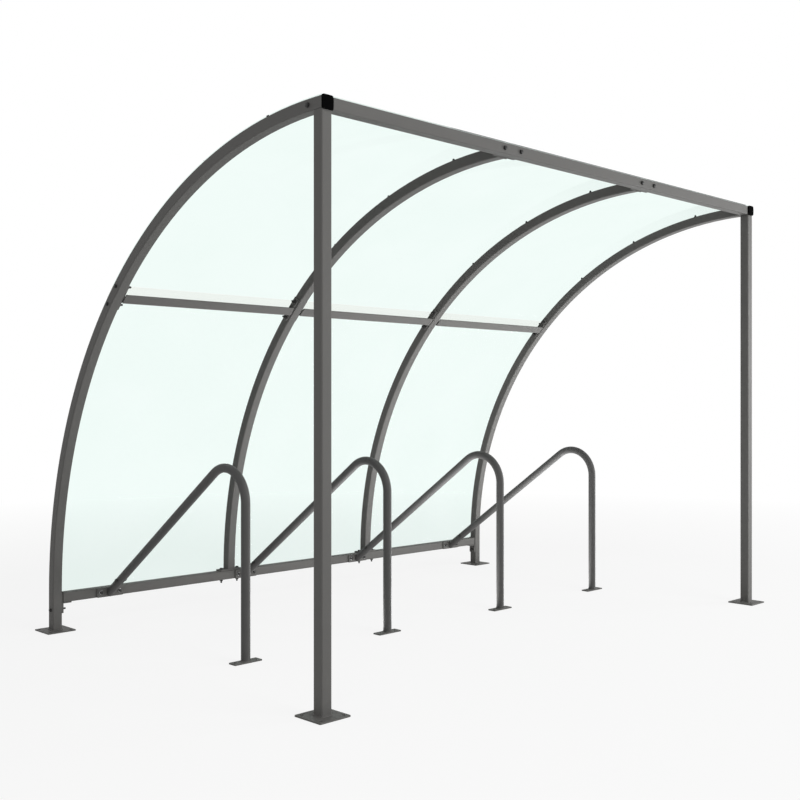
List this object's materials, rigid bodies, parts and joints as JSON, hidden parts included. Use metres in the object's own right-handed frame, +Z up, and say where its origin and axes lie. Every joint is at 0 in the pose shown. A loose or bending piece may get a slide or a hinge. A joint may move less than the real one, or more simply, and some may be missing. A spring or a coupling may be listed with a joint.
{
  "type": "bike shelter",
  "caption": "Open-fronted bike shelter with a curved tube frame, clear curved roof and back sheets, and hoop stands tied to a low rear rail.",
  "frame": {"origin": "on the ground under the middle of the shelter", "axes": "+X along the shelter to the right seen from the open front, the open front faces -Y, +Z up"},
  "size_m": [3.375, 2.25, 2.304],
  "materials": {
    "coated_steel": "satin",
    "black_plastic": "satin",
    "clear_sheet": "gloss"
  },
  "bodies": {
    "root": {"left_front_post": "coated_steel", "right_front_post": "coated_steel", "left_end_arch": "coated_steel", "right_end_arch": "coated_steel", "left_inner_arch": "coated_steel", "right_inner_arch": "coated_steel", "front_beam": "coated_steel", "bottom_rail": "coated_steel", "left_mid_rail": "coated_steel", "center_mid_rail": "coated_steel", "right_mid_rail": "coated_steel", "left_post_plate": "coated_steel", "right_post_plate": "coated_steel", "left_arch_plate": "coated_steel", "right_arch_plate": "coated_steel", "left_foot_flange": "coated_steel", "right_foot_flange": "coated_steel", "left_head_flange": "coated_steel", "right_head_flange": "coated_steel", "far_left_hoop": "coated_steel", "far_left_foot_plate": "coated_steel", "far_left_rail_bracket": "coated_steel", "mid_left_hoop": "coated_steel", "mid_left_foot_plate": "coated_steel", "mid_left_rail_bracket": "coated_steel", "mid_right_hoop": "coated_steel", "mid_right_foot_plate": "coated_steel", "mid_right_rail_bracket": "coated_steel", "far_right_hoop": "coated_steel", "far_right_foot_plate": "coated_steel", "far_right_rail_bracket": "coated_steel", "left_end_cap": "black_plastic", "right_end_cap": "black_plastic", "left_lower_sheet": "clear_sheet", "center_lower_sheet": "clear_sheet", "right_lower_sheet": "clear_sheet", "left_upper_sheet": "clear_sheet", "center_upper_sheet": "clear_sheet", "right_upper_sheet": "clear_sheet"}
  },
  "joints": []
}
